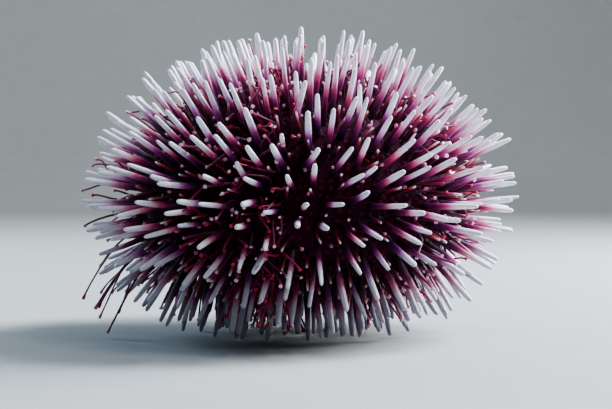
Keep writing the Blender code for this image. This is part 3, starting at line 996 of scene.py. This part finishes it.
# mouth, on the underside
mouth = {
    "lipRadius": 0.0042,
    "lipWidth": 0.0014,
    "lipDrop": 0.0014,
    "pleats": 40,
    "pleatDepth": 0.00018,
    "folds": 9,  # rings that run round the mouth
    "foldDepth": 0.00012,
    "gillPlace": 0.0106,
    "gillDeg": 20.0,
    "gillLength": 0.0027,
    "gillFingers": 18,
    "gillFan": 0.5,
    "gillBow": 0.0005,
    "footPlace": 0.0070,
    "footDeg": 13.0,
    "footLength": 0.0052,
    "footGirth": 1.6,
    "footBow": 0.0004,
    "mapWidth": 0.026,
    "membraneDark": "16050A",
    "membraneLight": "5A2230",
}
mouthSeat = profile[-1][1] + shell["membraneThickness"]
mouthFace = profile[-1][1]


def makeMouth():
    back = mouthSeat - shell["gap"]
    inner = mouth["lipRadius"]
    outer = shell["mouthRadius"]
    lip = mouthFace - mouth["lipDrop"]
    edge = inner + mouth["lipWidth"]
    steps = [(inner, back), (outer, back), (outer, mouthFace + 0.0004), (outer - 0.0003, mouthFace)]
    for number, radius in enumerate(np.linspace(outer - 0.0008, edge + 0.0005, mouth["folds"])):
        steps.append((radius, mouthFace + (mouth["foldDepth"] if number % 2 else 0.0)))
    steps += [
        (edge + 0.0001, mouthFace - 0.0005), (edge - 0.0003, lip + 0.0002), (edge - 0.0007, lip),
        (inner + 0.0003, lip + 0.0001), (inner, lip + 0.0006), (inner, mouthFace), (inner, back),
    ]
    membrane = ringForm("mouth_membrane", 160, steps, closeEnd=False)
    bpy.ops.object.mode_set(mode="EDIT")
    bpy.ops.mesh.select_all(action="SELECT")
    bpy.ops.mesh.remove_doubles(threshold=0.000001)
    bpy.ops.mesh.normals_make_consistent(inside=False)
    bpy.ops.object.mode_set(mode="OBJECT")

    def pleat(points):
        radius = np.hypot(points[:, 0], points[:, 1])
        turn = np.arctan2(points[:, 1], points[:, 0])
        near = np.clip((0.0100 - radius) / 0.0030, 0, 1) * (points[:, 2] < back - 0.0006)
        points[:, 2] += mouth["pleatDepth"] * near * np.sin(mouth["pleats"] * turn)
        return points

    reshape(membrane, pleat)
    leather = grainyMaterial(
        "mouthLeather", mouth["membraneDark"], mouth["membraneLight"], 0.5, 2400, 420, 0.0002
    )
    dress(membrane, leather, "mouth_membrane", "peristome")
    makeGills()
    makeTeeth(back)
    print("mouth: membrane, gills, feet and teeth")


def makeGills():
    steps = [
        (0.00026, 0.0), (0.00030, 0.0005), (0.00024, 0.0012), (0.00021, 0.0019), (0.00024, 0.0024),
        (0.00012, mouth["gillLength"]),
    ]
    finger = readMaster(ringForm("gillMaster", 6, steps), 0.0)
    shortFoot = makeFootMaster(mouth["footLength"], mouth["footGirth"])
    chance = random.Random(64)

    def sideways(spread, down):
        return np.array([chance.gauss(0, spread), chance.gauss(0, spread), down])

    gills, feet = [], []
    for number in range(5):
        ray = rayAngle(number)
        for side in (-1, 1):
            azimuth = ray + side * math.radians(mouth["gillDeg"])
            for _ in range(mouth["gillFingers"]):
                place = mouth["gillPlace"] + chance.uniform(-0.0006, 0.0005)
                root = onRing(place, azimuth + chance.uniform(-0.07, 0.07), mouthFace + 0.0002)
                gills.append({
                    "root": root, "axis": sideways(mouth["gillFan"], -1.0),
                    "length": mouth["gillLength"] * chance.uniform(0.45, 0.95),
                    "girth": chance.uniform(1.0, 1.5), "tone": chance.random(),
                    "bend": sideways(mouth["gillBow"], 0.0),
                    "patch": tuple(0.5 + root[:2] / mouth["mapWidth"]), "patchSize": finePatch,
                })
            azimuth = ray + side * math.radians(mouth["footDeg"])
            root = onRing(mouth["footPlace"], azimuth, mouthFace + 0.0001)
            feet.append({
                "root": root, "axis": np.array([0, 0, -1.0]), "length": mouth["footLength"],
                "bend": sideways(mouth["footBow"], 0.0),
                "girth": chance.uniform(0.9, 1.1), "tone": chance.random(),
                "patch": tuple(0.5 + root[:2] / mouth["mapWidth"]), "patchSize": finePatch,
            })
    gillSkin = grainyMaterial("gillSkin", "2A0612", "7A2438", 0.4, 5200, 900, 0.0001)
    joinCopies("gills", finger, gills, gillSkin, "mouth_membrane")
    joinCopies("mouth_feet", shortFoot, feet, footColour, "mouth_membrane")


# five teeth in the tip of the jaw
teeth = {
    "jawDrop": 0.0014,
    "width": 0.0011,
    "tipWidth": 0.00042,
    "reach": 0.0062,  # from the seat of the mouth down to the points
    "rings": 12,
    "grooveDepth": 0.14,
    "grooveWidth": 0.11,
}


def makeTeeth(back):
    jawRadius = mouth["lipRadius"] - shell["gap"]
    low = mouthFace - teeth["jawDrop"]
    steps = [
        (jawRadius, back), (jawRadius, mouthFace), (jawRadius * 0.93, mouthFace - 0.0004),
        (jawRadius * 0.70, low + 0.0004), (jawRadius * 0.5, low), (0.0006, low - 0.0001),
    ]
    jaw = ringForm("jaw_tip", 120, steps, closeStart=True)

    def groove(points):
        turn = np.arctan2(points[:, 1], points[:, 0])
        for number in range(5):
            off = np.angle(np.exp(1j * (turn - rayAngle(number))))
            cut = teeth["grooveDepth"] * np.exp(-((off / teeth["grooveWidth"]) ** 2))
            points[:, :2] *= 1 - (cut * (points[:, 2] < mouthFace + 0.0001))[:, None]
        return points

    reshape(jaw, groove)
    bone = grainyMaterial("jawBone", "4E3A3A", "9C8478", 0.55, 2600, 500, 0.0001)
    dress(jaw, bone, "teeth", "lantern_teeth")
    tipLevel = mouthSeat - teeth["reach"]
    rootLevel = mouthFace + 0.0004
    levels = np.linspace(rootLevel, tipLevel, teeth["rings"])
    tooth = ringForm("tooth", 12, [(teeth["width"], level) for level in levels], closeStart=True)

    def curve(points):  # bowed outwards, wide at the root and a chisel at the tip
        share = (rootLevel - points[:, 2]) / (rootLevel - tipLevel)
        middle = np.interp(share, [0, 0.35, 0.7, 1], [0.0019, 0.0023, 0.0015, 0.00045])
        wide = np.interp(share, [0, 0.4, 0.8, 1], [0.95, 0.86, 0.58, teeth["tipWidth"] / teeth["width"]])
        thick = np.interp(share, [0, 0.5, 0.85, 1], [0.62, 0.55, 0.36, 0.16])
        keel = 1 + 0.35 * (points[:, 0] < -teeth["width"] * 0.8)
        points[:, 0] = middle + points[:, 0] * thick * keel
        points[:, 1] *= wide
        return points

    reshape(tooth, curve)
    copies = []
    for number in range(5):
        copy = tooth.copy()
        copy.data = tooth.data.copy()
        bpy.context.scene.collection.objects.link(copy)
        copy.data.transform(Matrix.Rotation(rayAngle(number + 0.5), 4, "Z"))
        copies.append(copy)
    bpy.data.objects.remove(tooth, do_unlink=True)
    enamel = grainyMaterial("toothEnamel", "CFC4B0", "F6F1E6", 0.18, 1800, 320, 0.00003)
    dress(joinForms("teeth", copies), enamel, "teeth")


# studio
view = {
    "elevationDeg": 1.0,
    "distance": 0.36,
    "lens": 82.0,
    "aim": (0.0016, 0.0, -0.0012),  # off the shell's centre, for the photograph's framing
}
sweepSize = {
    "width": 3.0,
    "forward": 0.3,
    "drop": 0.0002,
    "curveRadius": 0.5,
    "curveSteps": 12,
    "wallHeight": 1.6,
    "dark": "70726F",
    "light": "787A77",
}
room = {"dim": "B4C6D2", "dimStrength": 0.06, "pale": "949CA4"}

# place, size, power, colour and, where it isn't the animal, target
lights = {
    "keyLight": ((0.42, 0.12, 0.58), 0.20, 28.0, (0.73, 0.84, 1.0)),
    "frontLight": ((0.28, -0.20, 0.74), 0.12, 4.0, (0.96, 0.95, 1.0)),
    "fillLight": ((-0.6, 0.0, 0.50), 0.4, 0.9, (0.52, 0.66, 1.0)),
    "leftRimLight": ((-0.50, 0.42, 0.34), 0.3, 7.0, (0.56, 0.76, 1.0)),
    "rimLight": ((0.60, 0.28, 0.26), 0.3, 38.0, (0.89, 0.92, 1.0)),
    "wallLight": ((0.0, 0.50, 1.10), 0.8, 30.0, (0.86, 0.94, 1.0), (0.0, 1.9, 0.35)),
    "leftFloorLight": ((-0.8, 0.0, 0.8), 0.8, 26.0, (0.86, 0.94, 1.0), (-1.7, 0.0, 0.0)),
    "rightFloorLight": ((0.8, 0.0, 0.8), 0.8, 26.0, (0.86, 0.94, 1.0), (1.7, 0.0, 0.0)),
    "nearFloorLight": ((0.0, -0.8, 0.8), 0.8, 26.0, (0.86, 0.94, 1.0), (0.0, -1.7, 0.0)),
}


def makeLight(name, place, size, power, colour, target=(0, 0, widestLevel)):
    data = bpy.data.lights.new(name, "AREA")
    data.shape = "DISK"
    data.size = size
    data.energy = power
    data.color = colour
    lamp = bpy.data.objects.new(name, data)
    lamp.location = place
    aim = Vector(target) - Vector(place)
    lamp.rotation_euler = aim.to_track_quat("-Z", "Y").to_euler()
    bpy.context.scene.collection.objects.link(lamp)


# the floor runs back and curves up, so no edge shows behind the animal
def makeSweep():
    clearSelection()
    spot = (0, -sweepSize["forward"], -sweepSize["drop"])
    bpy.ops.mesh.primitive_plane_add(size=sweepSize["width"], location=spot)
    sweep = bpy.context.object
    sweep.name = "studioSweep"
    bpy.ops.object.transform_apply(location=True)
    bpy.ops.object.mode_set(mode="EDIT")
    bpy.ops.mesh.select_all(action="DESELECT")
    mesh = bmesh.from_edit_mesh(sweep.data)
    for edge in mesh.edges:
        edge.select = all(vert.co.y > 1.0 for vert in edge.verts)
    bmesh.update_edit_mesh(sweep.data)
    count = sweepSize["curveSteps"]
    run = sweepSize["curveRadius"] * math.pi / (2 * count)
    for step in range(count):  # a quarter round, up to the wall
        turn = math.radians(90 * (step + 0.5) / count)
        move = (0, run * math.cos(turn), run * math.sin(turn))
        bpy.ops.mesh.extrude_region_move(TRANSFORM_OT_translate={"value": move})
    bpy.ops.mesh.extrude_region_move(TRANSFORM_OT_translate={"value": (0, 0, sweepSize["wallHeight"])})
    bpy.ops.mesh.select_all(action="SELECT")
    bpy.ops.mesh.normals_make_consistent(inside=False)
    bpy.ops.object.mode_set(mode="OBJECT")
    bpy.ops.object.shade_smooth()
    paper = grainyMaterial("palePaper", sweepSize["dark"], sweepSize["light"], 0.8, 90, 3, 0.0001)
    sweep.data.materials.append(paper)


# a dim room to light the animal, that looks as pale as the floor past its edges
def makeWorld():
    world = bpy.data.worlds.new("studio")
    world.use_nodes = True
    tree = world.node_tree
    dim = tree.nodes["Background"]
    dim.inputs["Color"].default_value = hexColour(room["dim"])
    dim.inputs["Strength"].default_value = room["dimStrength"]
    pale = addNode(tree, "ShaderNodeBackground")
    pale.inputs["Color"].default_value = hexColour(room["pale"])
    rays = addNode(tree, "ShaderNodeLightPath")
    choice = addNode(tree, "ShaderNodeMixShader")
    tree.links.new(rays.outputs["Is Camera Ray"], choice.inputs[0])
    tree.links.new(dim.outputs[0], choice.inputs[1])
    tree.links.new(pale.outputs[0], choice.inputs[2])
    tree.links.new(choice.outputs[0], tree.nodes["World Output"].inputs["Surface"])
    bpy.context.scene.world = world


def makeStudio():
    makeSweep()
    for name, settings in lights.items():
        makeLight(name, *settings)
    makeWorld()
    centre = Vector((0, 0, widestLevel))
    lift = math.radians(view["elevationDeg"])
    data = bpy.data.cameras.new("camera")
    data.sensor_width = 36.0
    data.lens = view["lens"]
    camera = bpy.data.objects.new("camera", data)
    camera.location = centre + view["distance"] * Vector((0, -math.cos(lift), math.sin(lift)))
    look = centre + Vector(view["aim"]) - camera.location
    camera.rotation_euler = look.to_track_quat("-Z", "Y").to_euler()
    bpy.context.scene.collection.objects.link(camera)
    bpy.context.scene.camera = camera
    print("studio ready")


makeSkin()
makeSpines()
makeFeet()
makePincers()
makeTubercles()
makeDisc()
makeMouth()
makeStudio()
